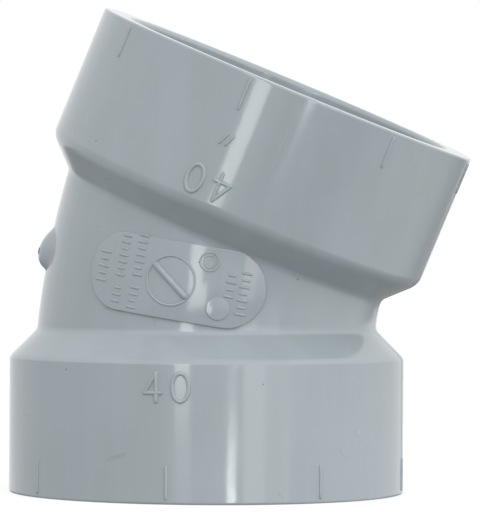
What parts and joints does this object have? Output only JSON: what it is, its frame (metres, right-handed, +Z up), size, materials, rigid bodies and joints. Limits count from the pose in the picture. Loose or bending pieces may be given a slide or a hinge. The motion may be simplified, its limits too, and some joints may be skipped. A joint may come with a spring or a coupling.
{
  "type": "pvc elbow fitting",
  "caption": "Grey plastic drain elbow that turns pipe through 22.5 degrees, with a wide socket hub at each end and a short neck between them.",
  "frame": {"origin": "under the middle of the whole elbow's box, on the plane of the lower rim", "axes": "+Z up along the lower hub's axis, +X toward the side the elbow leans to, -Y toward the side with the marking pad"},
  "size_m": [0.067, 0.0576, 0.0698],
  "materials": {
    "grey_pvc": "as moulded, semi-gloss pale blue grey"
  },
  "bodies": {
    "root": {"lower_hub": "grey_pvc", "lower_size_digit_4": "grey_pvc", "lower_size_digit_0": "grey_pvc", "bend_body": "grey_pvc", "marking_pad": "grey_pvc", "date_dial": "grey_pvc", "cavity_disc": "grey_pvc", "mark_ring": "grey_pvc", "gate_nub": "grey_pvc", "pad_bar_1": "grey_pvc", "pad_bar_2": "grey_pvc", "pad_bar_3": "grey_pvc", "pad_bar_4": "grey_pvc", "pad_bar_5": "grey_pvc", "upper_hub": "grey_pvc", "upper_size_digit_4": "grey_pvc", "upper_size_digit_0": "grey_pvc"}
  },
  "joints": []
}
